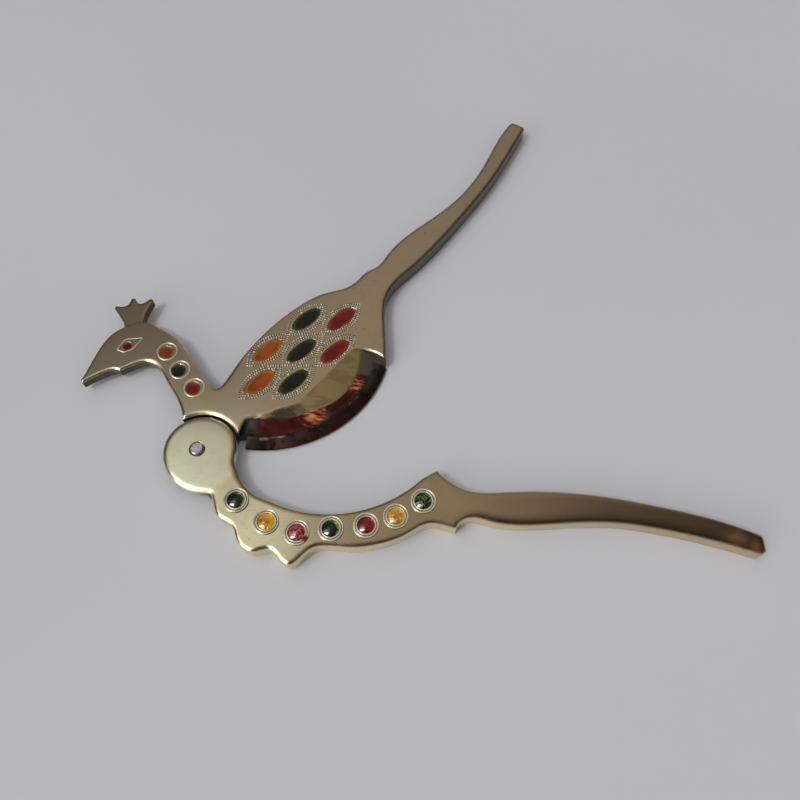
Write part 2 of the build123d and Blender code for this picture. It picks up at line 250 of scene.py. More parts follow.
# Radii of the eased edges; the handle's tip has its own on top of the stones' one
WIDE_EASE = 1.7 * MM
HEAD_EASE = 0.9 * MM
INLAY_EASE = 0.3 * MM
DISC_EASE = 2.2 * MM
STONES_EASE = 1.1 * MM
TIP_EASE = 1.2 * MM
EDGE_REFLECTION_EASE = 1.2 * MM
FRONT_EDGE_EASE = 4.5 * MM

# Places for near_point: x, y and reach in millimetres from the rivet
WING = (30.0, 36.0, 21.0)
HEAD = (-36.0, 37.0, 20.0)
BIRD_WITHOUT_HANDLE = (0.0, 30.0, 60.0)
JOINT_POCKET = (0.0, 0.0, 19.0)
JOINT_SIDES = (0.0, 0.0, 24.0)
STAINED_PLACE = (13.5, 4.5, 3.0)
BLADE_HEEL = (15.8, 6.5, 6.5)
BEVEL_REFLECTION_PLACE = (26.4, 10.6, 5.0)
ORANGE_HIGHLIGHT_SPOTS = ((36.5, 12.5, 5.5), (49.0, 24.5, 4.0))
TIP_REFLECTION_PLACE = (169.6, -32.2, 4.0)
INNER_TIP_REFLECTION_PLACE = (164.0, -30.4, 7.0)
SMEARED_PLACE = (36.0, -29.2, 1.0)
INLAY_REACH = 3.9

# Soft edges round the middle of the blade's circle: where each starts and where it is complete
RED_REFLECTION_START = (31.8 * MM, 32.0 * MM)
RED_REFLECTION_END = (37.6 * MM, 37.5 * MM)
STEEL_JOINT_START = (37.2 * MM, 37.5 * MM)
STEEL_JOINT_END = (38.2 * MM, 37.9 * MM)
GROUND_EDGE = (38.5 * MM, 39.5 * MM)


def brass_surface(name, brush_angle, pale, brown, far, ease):
    """Hand-finished brass: buffing lines, soft dents, tarnish clouds, browner far from the rivet.

    far is where the browning starts and is complete, and ease(tree) gives the radius of the
    eased edges, most of which the upright sides don't take.
    """
    material, tree, shader = new_material(name)
    plain = place(tree)
    brushed = place(tree, (1, 12, 1), brush_angle)
    clouds = noise(tree, plain, 45, 4, 0.6)
    specks = noise(tree, plain, 700, 2, 0.5)
    lines = noise(tree, brushed, 160, 3, 0.6)
    scratches = noise(tree, brushed, 700, 2, 0.7)
    away = remap(tree, distance_from(tree, PIVOT), *far)
    colour = blend_colours(tree, remap(tree, clouds, 0.38, 0.72, 0.0, 0.35), pale, brown)
    colour = blend_colours(tree, calculate(tree, "MULTIPLY", away, 0.8), colour, brown)
    tarnish = remap(tree, specks, 0.66, 0.74, 0.0, 0.3)
    colour = blend_colours(tree, tarnish, colour, [part * 0.5 for part in brown])
    colour = blend_colours(tree, remap(tree, lines, 0.35, 0.7, 0.0, 0.14), colour, pale)
    scratched = remap(tree, scratches, 0.3, 0.7, 0.11, 0.18)
    roughness = calculate(tree, "ADD", scratched, remap(tree, clouds, 0.3, 0.7, 0, 0.06))
    on_sides = remap(tree, levelness(tree), 0.3, 0.7, 0.35, 1.0)
    eased = eased_edges(tree, calculate(tree, "MULTIPLY", ease(tree), on_sides))
    dents = bump(tree, noise(tree, plain, 38, 1, 0.3), 0.25 * MM, 0.25, eased)
    normal = bump(tree, scratches, 0.006 * MM, 0.4, dents)
    set_inputs(tree, shader, base_color=colour, roughness=roughness, normal=normal, metallic=1.0)
    return material, tree, shader


def shade_and_tarnish_sides(tree, shader, near):
    """Unpolished sides, nearly black with tarnish and painted shade, where near is 1, fading to clean brass where
    it is 0.
    """
    side = remap(tree, levelness(tree), 0.45, 0.15)
    patchy = remap(tree, noise(tree, place(tree), 220, 4, 0.65), 0.3, 0.75, 1.0, 0.88)
    share = calculate(tree, "MULTIPLY", side, near, patchy)
    tint(tree, shader, share, TARNISH_AND_SHADE_BLACK)
    return share


def upper_ease(tree):
    """Wide over most of the bird, narrower on its head, and nearly none by the inlays."""
    inlaid = near_point(tree, *WING, 0.15)
    for node in ("neck_enamel_1", "neck_enamel_2", "neck_enamel_3", "eye_enamel"):
        spot = (centre_of(node) - PIVOT) / MM
        around = near_point(tree, spot.x, spot.y, INLAY_REACH, 0.1)
        inlaid = calculate(tree, "MAXIMUM", inlaid, around)
    by_head = remap(tree, near_point(tree, *HEAD, 0.3), 0, 1, WIDE_EASE, HEAD_EASE)
    by_inlay = remap(tree, inlaid, 0, 1, WIDE_EASE, INLAY_EASE)
    return calculate(tree, "MINIMUM", by_head, by_inlay)


def paint_edge_reflection(tree, shader):
    """A painted reflection: a thin dark red line down the handle's right edge."""
    eased = eased_axes(tree, EDGE_REFLECTION_EASE)
    share = calculate(
        tree, "MULTIPLY", remap(tree, distance_from(tree, PIVOT), 72 * MM, 80 * MM, 0.0, 0.85),
        between(tree, eased["Z"], (0.55, 0.65), (0.93, 0.86)), remap(tree, eased["X"], 0.2, 0.35),
    )
    tint(tree, shader, share, EDGE_LINE_REFLECTION)


def file_facets(tree, shader):
    """Yellower facets with brown file strokes, painted shade at the blade's heel and a painted dark reflection on
    the bevel; returns the heel.
    """
    level = levelness(tree)
    facets = between(tree, level, (0.9, 0.93, 0.0, 0.85), (0.998, 0.994))
    tint(tree, shader, facets, FACET_YELLOW)
    strokes = noise(tree, place(tree, (1, 3, 1), radians(48)), 120, 2, 0.5)
    filed = calculate(tree, "MULTIPLY", facets, remap(tree, strokes, 0.46, 0.6, 0.0, 0.6))
    tint(tree, shader, filed, FILED_BROWN)
    # Painted shade where the blade's heel meets the body
    by_heel = near_point(tree, *BLADE_HEEL, 0.45, 0.6)
    heel = calculate(tree, "MULTIPLY", remap(tree, level, 0.985, 0.975), by_heel)
    tint(tree, shader, heel, BRASS_HEEL_SHADE)
    # A painted dark reflection on the facets
    near_bevel_reflection = near_point(tree, *BEVEL_REFLECTION_PLACE, 0.35, 0.9)
    dark_reflection_share = calculate(tree, "MULTIPLY", remap(tree, level, 0.998, 0.994, 0.0, 0.75), near_bevel_reflection)
    tint(tree, shader, dark_reflection_share, BEVEL_DARK_REFLECTION)
    return heel


def paint_bevel_reflections(tree, shader):
    """Painted reflections on the steep bevel: dark red with painted orange highlights, in a band of painted shade;
    returns both shares.
    """
    ragged = wobble(tree, 500, 0.3 * MM)
    out = calculate(tree, "ADD", distance_from(tree, (*BLADE_CENTRE, 0)), ragged)
    across = calculate(tree, "ADD", axis_value(tree, 0), ragged)
    along = calculate(tree, "ADD", axis_value(tree, 1), ragged)
    level = levelness(tree)
    started = remap(tree, out, *RED_REFLECTION_START)
    steep = remap(tree, level, 0.95, 0.94)
    past_heel = remap(tree, across, PIVOT.x + 14 * MM, PIVOT.x + 16 * MM)
    band = calculate(tree, "MULTIPLY", steep, started, past_heel)
    # Painted shade: a dark band on the steep bevel
    tint(tree, shader, calculate(tree, "MULTIPLY", band, 0.93), BAND_SHADE)
    share = calculate(
        tree, "MULTIPLY", started, steep, remap(tree, level, 0.8, 0.82),
        remap(tree, across, PIVOT.x + 16 * MM, PIVOT.x + 19 * MM),
        remap(tree, along, PIVOT.y + 28.5 * MM, PIVOT.y + 27 * MM), remap(tree, out, *RED_REFLECTION_END),
    )
    # A painted dark red reflection
    reflection_clouds = remap(tree, noise(tree, place(tree), 260, 4, 0.7), 0.4, 0.75)
    reflected_red_colour = blend_colours(tree, reflection_clouds, BEVEL_DEEP_RED_REFLECTION, BEVEL_RED_REFLECTION)
    # Painted orange highlights in two places
    streaks = noise(tree, place(tree, (1, 4, 1), radians(-45)), 300, 4, 0.65)
    highlight_spots = [near_point(tree, *highlight_spot, 0.8, 0.8) for highlight_spot in ORANGE_HIGHLIGHT_SPOTS]
    worn = calculate(tree, "MAXIMUM", *highlight_spots)
    worn = calculate(tree, "MULTIPLY", worn, remap(tree, streaks, 0.38, 0.66))
    tint(tree, shader, share, blend_colours(tree, worn, reflected_red_colour, ORANGE_HIGHLIGHT))
    return band, share


def upper_brass():
    """The bird's brass, with a painted dark red reflection and painted orange highlights on the steep bevel over
    the blade.
    """
    material, tree, shader = brass_surface(
        "upper_brass", radians(-44), UPPER_PALE, UPPER_BROWN, (50 * MM, 160 * MM), upper_ease
    )
    sides = shade_and_tarnish_sides(tree, shader, near_point(tree, *BIRD_WITHOUT_HANDLE, 0.2))
    paint_edge_reflection(tree, shader)
    tint(tree, shader, near_point(tree, *STAINED_PLACE, 0.5, 0.5), COPPER_STAIN)
    heel = file_facets(tree, shader)
    band, red_reflection_share = paint_bevel_reflections(tree, shader)
    low = remap(tree, axis_value(tree, 2), TOP - 0.8 * MM, TOP - 1.4 * MM)
    # Painted shade low in the pocket round the joint
    pocket = calculate(tree, "MULTIPLY", low, near_point(tree, *JOINT_POCKET, 0.1), 0.92)
    tint(tree, shader, pocket, RECESS_SHADE)
    dull_sides = calculate(tree, "MULTIPLY", sides, 0.7)
    dulled = calculate(tree, "MAXIMUM", red_reflection_share, heel, band, dull_sides)
    set_inputs(tree, shader, metallic=remap(tree, dulled, 0, 1, 1.0, 0.15))
    return material


def lower_ease(tree):
    """Widest on the disc and towards the handle's tip, and nearly none at the rivet."""
    away = distance_from(tree, PIVOT)
    ease = calculate(
        tree, "ADD", remap(tree, away, 19 * MM, 16 * MM, STONES_EASE, DISC_EASE),
        remap(tree, away, 75 * MM, 95 * MM, 0.0, TIP_EASE),
    )
    return calculate(tree, "MULTIPLY", ease, remap(tree, away, 4 * MM, 6 * MM, 0.1, 1.0))


def paint_tip_reflection(tree, shader):
    """A painted orange-red reflection on the top of the handle's tip; returns its share."""
    inner = calculate(tree, "MULTIPLY", near_point(tree, *INNER_TIP_REFLECTION_PLACE, 1.0, 0.8), 0.8)
    patches = calculate(tree, "MAXIMUM", near_point(tree, *TIP_REFLECTION_PLACE, 1.0), inner)
    share = calculate(tree, "MULTIPLY", patches, remap(tree, levelness(tree), 0.4, 0.8))
    tint(tree, shader, calculate(tree, "MULTIPLY", share, 0.9), TIP_ORANGE_REFLECTION)
    return share


def paint_front_edge_reflection(tree, shader):
    """A painted dark reflection: a band where the handle's top rolls over towards the front."""
    eased = eased_axes(tree, FRONT_EDGE_EASE)
    share = calculate(
        tree, "MULTIPLY", remap(tree, distance_from(tree, PIVOT), 80 * MM, 100 * MM, 0.0, 0.85),
        between(tree, eased["Z"], (0.6, 0.7), (0.996, 0.985)),
        remap(tree, eased["Y"], -0.04, -0.12),
    )
    tint(tree, shader, share, TARNISH_AND_SHADE_BLACK)


def lower_brass():
    """The lower arm's brass: yellower disc, painted shade round the rivet, a painted dark reflection on the front
    edge, a painted red reflection on the tip.
    """
    material, tree, shader = brass_surface(
        "lower_brass", radians(12), LOWER_PALE, LOWER_BROWN, (70 * MM, 150 * MM), lower_ease
    )
    sides = shade_and_tarnish_sides(tree, shader, near_point(tree, *JOINT_SIDES, 0.35))
    away = distance_from(tree, PIVOT)
    tint(tree, shader, remap(tree, away, 15.5 * MM, 13.5 * MM, 0.0, 0.7), DISC_YELLOW)
    # Painted shade in a ring round the rivet
    tint(tree, shader, remap(tree, away, 2.6 * MM, 2.2 * MM, 0.0, 0.9), RECESS_SHADE)
    tip_reflection = paint_tip_reflection(tree, shader)
    dulled = calculate(
        tree, "MAXIMUM", calculate(tree, "MULTIPLY", sides, 0.75),
        calculate(tree, "MULTIPLY", tip_reflection, 0.35),
    )
    set_inputs(tree, shader, metallic=remap(tree, dulled, 0, 1, 1.0, 0.1))
    paint_front_edge_reflection(tree, shader)
    return material


RELIEF_SHADED = (0.8, 0.73, 0.54)
RELIEF_BRIGHT = (1.0, 0.97, 0.84)
BEZEL_GROOVE_SHADE = (0.07, 0.05, 0.025)
SMEAR_RED = (0.45, 0.02, 0.015)


def pale_brass(name, metallic):
    """Brass rubbed bright on punched and rolled relief: paler and softer than the flats, the paleness partly a
    painted highlight.
    """
    material, tree, shader = new_material(name)
    plain = place(tree)
    worn = remap(tree, noise(tree, plain, 500, 3, 0.6), 0.3, 0.7)
    set_inputs(
        tree, shader, base_color=blend_colours(tree, worn, RELIEF_SHADED, RELIEF_BRIGHT),
        metallic=metallic, roughness=remap(tree, worn, 0, 1, 0.3, 0.2),
        normal=bump(tree, noise(tree, plain, 1500, 2), 0.02 * MM, 0.4),
    )
    return material, tree, shader


def bezel_brass():
    """Bright rolled beads, with painted shade low down between them and a smear of red on one bezel."""
    material, tree, shader = pale_brass("bezel_brass", 0.5)
    # Painted shade low down between the beads
    low = remap(tree, axis_value(tree, 2), TOP + 0.45 * MM, TOP + 0.33 * MM, 0.0, 0.9)
    tint(tree, shader, low, BEZEL_GROOVE_SHADE)
    tint(tree, shader, near_point(tree, *SMEARED_PLACE, 0.4, 0.5), SMEAR_RED)
    return material


def groove_shade_and_tarnish():
    """The dark, matt floor of a punched line, tarnish and painted shade together, with brass showing through in
    places.
    """
    material, tree, shader = new_material("groove_shade_and_tarnish")
    plain = place(tree)
    patches = remap(tree, noise(tree, plain, 800, 3, 0.6), 0.5, 0.75)
    colour = blend_colours(tree, patches, (0.012, 0.01, 0.007), (0.12, 0.09, 0.05))
    set_inputs(
        tree, shader, base_color=colour, metallic=0.3,
        roughness=remap(tree, noise(tree, plain, 1200, 2), 0.3, 0.7, 0.35, 0.6),
    )
    return material


# ---------------------------------------------------------------- steel, enamel and glass
STEEL_BROWN = (0.12, 0.09, 0.09)
STEEL_RUST = (0.26, 0.12, 0.11)
STEEL_RINGS = (0.34, 0.3, 0.3)
STEEL_GREY = (0.42, 0.43, 0.48)
GROUND_RUST = (0.22, 0.085, 0.07)
# Painted shade at the blade's heel
STEEL_HEEL_SHADE = (0.035, 0.03, 0.022)
# Painted highlight along the blade's joint with the brass
JOINT_HIGHLIGHT = (0.62, 0.55, 0.5)
RINGS_PER_METRE = 9000.0
STEEL_WOBBLE = 0.4 * MM
# Places for near_point: x, y and reach in millimetres from the rivet
BLADE_TAIL = (60.0, 27.0, 11.0)
SHADED_STEEL_HEEL = (16.0, 1.0, 12.0)


def steel_blade():
    """Dark oiled steel: grinding lines round the blade's circle, a rust-brown ground edge, a painted highlight
    along the joint and painted shade at the heel.
    """
    material, tree, shader = new_material("blade_steel")
    out = distance_from(tree, (*BLADE_CENTRE, 0))
    ragged = wobble(tree, 300, STEEL_WOBBLE)
    uneven = calculate(tree, "ADD", out, ragged)
    rings = add_node(
        tree, "ShaderNodeTexNoise",
        {"W": calculate(tree, "MULTIPLY", out, RINGS_PER_METRE), "Scale": 1.0, "Detail": 2.0},
        noise_dimensions="1D",
    ).outputs["Fac"]
    stains = remap(tree, noise(tree, place(tree), 90, 4, 0.65), 0.4, 0.7)
    # A painted highlight along the line where the steel meets the brass
    joint = calculate(
        tree, "MULTIPLY", between(tree, uneven, STEEL_JOINT_START, STEEL_JOINT_END),
        remap(tree, stains, 0.2, 0.8),
    )
    colour = blend_colours(tree, stains, STEEL_BROWN, STEEL_RUST)
    for share, shade in (
        (remap(tree, rings, 0.35, 0.7, 0, 0.3), STEEL_RINGS),
        (near_point(tree, *BLADE_TAIL, 0.6), STEEL_GREY),
        (remap(tree, uneven, *GROUND_EDGE, 0.0, 0.8), GROUND_RUST),
        (near_point(tree, *SHADED_STEEL_HEEL, 0.7), STEEL_HEEL_SHADE),
        (joint, JOINT_HIGHLIGHT),
    ):
        colour = blend_colours(tree, share, colour, shade)
    set_inputs(
        tree, shader, base_color=colour, metallic=1.0,
        normal=bump(tree, rings, 0.01 * MM, 0.4, eased_edges(tree, 0.6 * MM)),
        roughness=remap(tree, ragged, -STEEL_WOBBLE, STEEL_WOBBLE, 0.22, 0.36),
    )
    return material


def rivet_steel():
    """A hammered and filed rivet end: silver, scratched along one slant."""
    material, tree, shader = new_material("rivet_steel")
    lines = noise(tree, place(tree, (1, 18, 1), radians(30)), 700, 3, 0.6)
    dimples = noise(tree, place(tree), 600, 1, 0.4)
    filed = remap(tree, lines, 0.3, 0.7)
    hammered = bump(tree, dimples, 0.12 * MM, 0.5)
    set_inputs(
        tree, shader, base_color=blend_colours(tree, filed, (0.62, 0.63, 0.66), (0.9, 0.91, 0.94)),
        metallic=1.0, normal=bump(tree, lines, 0.01 * MM, 0.5, hammered),
        roughness=remap(tree, lines, 0.3, 0.7, 0.22, 0.36),
    )
    return material


def enamel_paint(name, deep, light, rim):
    """Thin glassy enamel: a deep middle, clouds of the lighter shade, worn towards its rim."""
    material, tree, shader = new_material(name)
    plain = place(tree)
    depth = add_node(tree, "ShaderNodeAttribute", attribute_name="from_rim").outputs["Fac"]
    clouds = noise(tree, plain, 240, 3, 0.55)
    colour = blend_colours(tree, remap(tree, clouds, 0.35, 0.65), deep, light)
    edge = calculate(tree, "ADD", depth, wobble(tree, 700, 0.1, 2, 0.55))
    colour = blend_colours(tree, remap(tree, edge, 0.34, 0.02), colour, rim)
    pits = noise(tree, plain, 1500, 2, 0.5)
    set_inputs(
        tree, shader, base_color=colour, roughness=remap(tree, clouds, 0.3, 0.7, 0.12, 0.26),
        normal=bump(tree, pits, 0.01 * MM, 0.35), coat_weight=0.3, coat_roughness=0.06,
    )
    return material


def gem_glass(name, dark, bright, glint, crackle, crescent):
    """Foil-backed glass: a dark body, a painted lit crescent on one side, crumpled foil showing through.

    crackle is the strength of the foil's veins, and crescent is where lit_side starts to light
    the glass and where it is fully lit.
    """
    material, tree, shader = new_material(name)
    plain = place(tree)
    cells = add_node(
        tree, "ShaderNodeTexVoronoi", {"Vector": plain, "Scale": 1100.0, "Randomness": 1.0},
        feature="DISTANCE_TO_EDGE",
    ).outputs["Distance"]
    crumple = noise(tree, plain, 900, 3, 0.6)
    lit = add_node(tree, "ShaderNodeAttribute", attribute_name="lit_side").outputs["Fac"]
    lit = calculate(tree, "ADD", lit, remap(tree, crumple, 0.3, 0.7, -0.15, 0.15))
    colour = blend_colours(tree, remap(tree, lit, *crescent), dark, bright)
    veins = calculate(
        tree, "MULTIPLY", remap(tree, cells, 0.12, 0.02),
        remap(tree, crumple, 0.4, 0.62, 0.0, crackle),
    )
    colour = blend_colours(tree, veins, colour, glint)
    # A painted white highlight, the glint
    painted_glint = add_node(tree, "ShaderNodeAttribute", attribute_name="glint").outputs["Fac"]
    colour = blend_colours(tree, remap(tree, painted_glint, 0.3, 0.6, 0.0, 0.95), colour, (1.0, 1.0, 1.0))
    normal = bump(tree, crumple, 0.2 * MM, 0.5, bump(tree, cells, 0.4 * MM, 0.4))
    smooth = add_node(tree, "ShaderNodeNewGeometry").outputs["Normal"]
    set_inputs(
        tree, shader, base_color=colour, metallic=0.35, roughness=0.24, normal=normal,
        coat_weight=1.0, coat_roughness=0.02, coat_normal=smooth, coat_ior=1.55,
    )
    return material


def floor_paint():
    """Smooth pale bluish grey, a little lighter in some places than in others."""
    material, tree, shader = new_material("floor_paint")
    tone = remap(tree, noise(tree, place(tree), 3.0, 2, 0.5), 0.3, 0.7)
    colour = blend_colours(tree, tone, (0.60, 0.605, 0.64), (0.63, 0.635, 0.665))
    set_inputs(
        tree, shader, base_color=colour, roughness=0.6,
        normal=bump(tree, noise(tree, place(tree), 400, 2), 0.1 * MM, 0.2),
    )
    return material


def backdrop_paint():
    """A pale wall that gives its own light and takes none."""
    material, tree, shader = new_material("backdrop_paint")
    tone = noise(tree, place(tree), 0.6, 2, 0.5)
    set_inputs(
        tree, shader, base_color=(0.0, 0.0, 0.0, 1.0), roughness=1.0, specular_ior_level=0.0,
        emission_color=blend_colours(tree, tone, (0.30, 0.30, 0.31), (0.34, 0.34, 0.35)),
        emission_strength=1.0,
    )
    return material


def paint(node, material):
    """Gives a CAD node one material."""
    obj = nodes[node]
    obj.data.materials.clear()
    obj.data.materials.append(material)


# ---------------------------------------------------------------- mesh pieces
def make_object(name, mesh, materials):
    """Turns a bmesh into an object of the scene, and frees the bmesh."""
    data = bpy.data.meshes.new(name)
    mesh.to_mesh(data)
    mesh.free()
    for material in materials:
        data.materials.append(material)
    obj = bpy.data.objects.new(name, data)
    bpy.context.scene.collection.objects.link(obj)
    return obj


def mesh_piece(name, mesh, materials, body):
    """Turns a bmesh into a smooth-shaded piece that rides on a body."""
    obj = make_object(name, mesh, materials)
    obj.data.shade_smooth()
    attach(obj, body)
    return obj


def cover_rings(mesh, middle, rings):
    """Faces from a middle point out over ring after ring, and one face under the last ring."""
    sides = len(rings[0])
    for k in range(sides):
        after = (k + 1) % sides
        mesh.faces.new((middle, rings[0][k], rings[0][after]))
        for inner, outer in zip(rings, rings[1:]):
            mesh.faces.new((inner[k], outer[k], outer[after], inner[after]))
    mesh.faces.new(list(reversed(rings[-1])))


LEAF_TURN = radians(43.4)
LEAF_HALF_LENGTH = 8.75 * MM
BORDER_HALF_WIDTHS = (4.4 * MM, 3.4 * MM)
BORDER_SHORTENING = 1.6
BEAD_STEP = 0.84 * MM
BEAD_RADIUS = 0.3 * MM
BEAD_HEIGHT = 0.3 * MM
BEAD_SIZES = (0.72, 1.15)
BEAD_SIDES = 7
# The bead's rings as shares of its radius and height: its rim is sunk a little into the brass
BEAD_PROFILE = ((0.62, 0.72), (1.0, -0.15))
GROOVE_LIFT = Vector((0, 0, 0.012)) * MM
GROOVE_HALF_LENGTH = BEAD_STEP * 0.55
GROOVE_HALF_WIDTH = 0.25 * MM
# Where the face has to be whole for a bead: under it, and a little way towards the blade
PROBES = [Vector((0.3, -0.3)) * MM, Vector((0.6, -0.2)) * MM, Vector((0, 0))]
PROBE_HEIGHT = 10 * MM
FACE_TOLERANCE = 0.02 * MM
# In millimetres from the rivet
LEAF_MIDDLES = [
    (32.0, 48.1), (43.8, 48.3), (19.4, 36.0), (31.2, 36.2), (42.2, 36.0), (17.9, 23.8),
    (29.0, 23.8),
]


def add_bead(mesh, spot, size):
    """A low dome; size is its share of the full radius and height."""
    radius = BEAD_RADIUS * size
    height = BEAD_HEIGHT * size
    top = mesh.verts.new(spot + Vector((0, 0, height)))
    angles = [tau * k / BEAD_SIDES for k in range(BEAD_SIDES)]
    rings = []
    for share, rise in BEAD_PROFILE:
        rings.append([
            mesh.verts.new(spot + Vector((
                radius * share * cos(angle), radius * share * sin(angle), height * rise
            )))
            for angle in angles
        ])
    cover_rings(mesh, top, rings)


def add_strip(mesh, middle, along):
    """A level patch of dark groove floor between two beads, painted with the second material: tarnish and painted
    shade.
    """
    across = Vector((-along.y, along.x, 0))
    face = mesh.faces.new([
        mesh.verts.new(middle + along * i * GROOVE_HALF_LENGTH + across * j * GROOVE_HALF_WIDTH)
        for i, j in ((-1, -1), (1, -1), (1, 1), (-1, 1))
    ])
    face.material_index = 1


def lens_points(half_length, half_width, step):
    """Evenly spaced points round a pointed lens made of two arcs, tips on the x axis."""
    radius = (half_length ** 2 + half_width ** 2) / (2 * half_width)
    half_angle = atan2(half_length, radius - half_width)
    count = round(2 * half_angle * radius / step)
    for side in (1, -1):
        for k in range(count):
            angle = half_angle * (2 * k / count - 1) * side
            yield Vector((
                radius * sin(angle), side * (radius * cos(angle) - radius + half_width)
            ))


def face_is_whole(brass, x, y):
    """Whether the top face is there under every probe of a place."""
    start_height = TOP + PROBE_HEIGHT
    hits = [
        brass.ray_cast(Vector((x + probe.x, y + probe.y, start_height)), Vector((0, 0, -1)))[0]
        for probe in PROBES
    ]
    return all(hit is not None and hit.z >= TOP - FACE_TOLERANCE for hit in hits)


def leaf_borders(materials):
    """Two beaded rows round each leaf, left out where the belly's bevels cut the face away."""
    brass = BVHTree.FromObject(nodes["upper_arm"], bpy.context.evaluated_depsgraph_get())
    for number, middle in enumerate(LEAF_MIDDLES, start=1):
        mesh = bmesh.new()
        centre = PIVOT.xy + Vector(middle) * MM
        for half_width in BORDER_HALF_WIDTHS:
            inset = BORDER_HALF_WIDTHS[0] - half_width
            half_length = LEAF_HALF_LENGTH - inset * BORDER_SHORTENING
            previous = None
            for point in lens_points(half_length, half_width, BEAD_STEP):
                x = centre.x + point.x * cos(LEAF_TURN) - point.y * sin(LEAF_TURN)
                y = centre.y + point.x * sin(LEAF_TURN) + point.y * cos(LEAF_TURN)
                size = random.uniform(*BEAD_SIZES)
                if not face_is_whole(brass, x, y):
                    previous = None
                    continue
                spot = Vector((x, y, TOP))
                if previous is not None and (spot - previous).length < 2 * BEAD_STEP:
                    along = (spot - previous).normalized()
                    add_strip(mesh, (spot + previous) / 2 + GROOVE_LIFT, along)
                add_bead(mesh, spot, size)
                previous = spot
        mesh_piece(f"leaf_border_{number}", mesh, materials, UPPER_BODY)


NECK_RING_SHIFT = Vector((0.5, 0.35, 0)) * MM
NECK_RING_SIDES = 64
# Radius and height above the face, in millimetres
NECK_RING_PROFILE = [
    (3.55, -0.05), (3.48, 0.13), (3.32, 0.22), (3.16, 0.22), (3.02, 0.12), (2.95, -0.05),
]


def lathe(mesh, centre, profile, sides):
    """Turns a closed profile of (radius, height) points about a vertical axis."""
    rings = [
        [
            mesh.verts.new(centre + Vector((r * cos(tau * k / sides), r * sin(tau * k / sides), z)))
            for k in range(sides)
        ]
        for r, z in profile
    ]
    for first, second in zip(rings, rings[1:] + rings[:1]):
        for k in range(sides):
            after = (k + 1) % sides
            mesh.faces.new((first[k], first[after], second[after], second[k]))


def neck_rings(material):
    """A raised ring round each round enamel of the neck, a little off its middle."""
    profile = [(r * MM, z * MM) for r, z in NECK_RING_PROFILE]
    for number in range(1, 4):
        mesh = bmesh.new()
        centre = centre_of(f"neck_enamel_{number}") + NECK_RING_SHIFT
        lathe(mesh, centre, profile, NECK_RING_SIDES)
        bmesh.ops.recalc_face_normals(mesh, faces=mesh.faces)
        mesh_piece(f"neck_ring_{number}", mesh, [material], UPPER_BODY)


# In millimetres from the rivet
EYE_CORNERS = [(-31.6, 36.2), (-29.3, 40.2), (-23.5, 40.8), (-26.2, 36.4), (-29.0, 35.1)]
# How far along each side a corner's curve starts, and the steps along that curve
EYE_CORNER_EASE = 0.14
EYE_CORNER_STEPS = (0, 0.25, 0.5, 0.75, 1)
EYE_RIM_HALF_WIDTH = 0.21 * MM
EYE_RIM_HEIGHT = 0.16 * MM
# The rim's section, as shares of its half width and its height
EYE_RIM_PROFILE = ((-1, -0.3), (-0.7, 0.6), (0, 1), (0.7, 0.6), (1, -0.3))


def eye_outline():
    """The closed line round the eye, with each corner rounded by a curve."""
    corners = [PIVOT.xy + Vector(corner) * MM for corner in EYE_CORNERS]
    path = []
    for k, corner in enumerate(corners):
        start = corner.lerp(corners[k - 1], EYE_CORNER_EASE)
        end = corner.lerp(corners[(k + 1) % len(corners)], EYE_CORNER_EASE)
        for share in EYE_CORNER_STEPS:
            path.append(start.lerp(corner, share).lerp(corner.lerp(end, share), share))
    return path


def eye_rim(material):
    """A raised line round the almond of the eye."""
    mesh = bmesh.new()
    path = eye_outline()
    rings = []
    for k, point in enumerate(path):
        along = (path[(k + 1) % len(path)] - path[k - 1]).normalized()
        across = Vector((-along.y, along.x))
        ring = []
        for share, rise in EYE_RIM_PROFILE:
            spot = point + across * share * EYE_RIM_HALF_WIDTH
            ring.append(mesh.verts.new((spot.x, spot.y, TOP + rise * EYE_RIM_HEIGHT)))
        rings.append(ring)
    count = len(EYE_RIM_PROFILE)
    for ring, following in zip(rings, rings[1:] + rings[:1]):
        for j in range(count):
            after = (j + 1) % count
            mesh.faces.new((ring[j], following[j], following[after], ring[after]))
    bmesh.ops.recalc_face_normals(mesh, faces=mesh.faces)
    mesh_piece("eye_rim", mesh, [material], UPPER_BODY)


POOL_RINGS = 10
POOL_SIDES = 72
POOL_DIP = 0.12 * MM
POOL_FLOOR_GAP = 0.02 * MM
LEAF_POOL_SIZE = (6.0 * MM, 2.65 * MM)
LEAF_POOL_TURN = radians(44)


def enamel_pool(node, material, slot, half_length, half_width, turn):
    """Enamel as it sets in its pocket: a dished top with a thin lip climbing the brass."""
    mesh = bmesh.new()
    low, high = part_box(node)
    centre = centre_of(node)
    layer = mesh.verts.layers.float.new("from_rim")
    middle = mesh.verts.new((centre.x, centre.y, high.z - POOL_DIP))
    middle[layer] = 1.0
    rings = []
    for step in range(1, POOL_RINGS + 2):
        share = min(step / POOL_RINGS, 1)
        dished = high.z - POOL_DIP * (1 - share ** 4)
        z = dished if step <= POOL_RINGS else low.z + POOL_FLOOR_GAP
        ring = []
        for k in range(POOL_SIDES):
            angle = tau * k / POOL_SIDES
            x = half_length * share * cos(angle)
            y = half_width * share * sin(angle)
            vertex = mesh.verts.new((
                centre.x + x * cos(turn) - y * sin(turn),
                centre.y + x * sin(turn) + y * cos(turn),
                z,
            ))
            vertex[layer] = 1 - share
            ring.append(vertex)
        rings.append(ring)
    cover_rings(mesh, middle, rings)
    pool = mesh_piece(f"{node}_pool", mesh, [material], UPPER_BODY)
    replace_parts(pool, node)


GEM_RINGS = 14
GEM_SIDES = 48
GEM_WALL = 0.2 * MM
GEM_SINK = 0.6 * MM
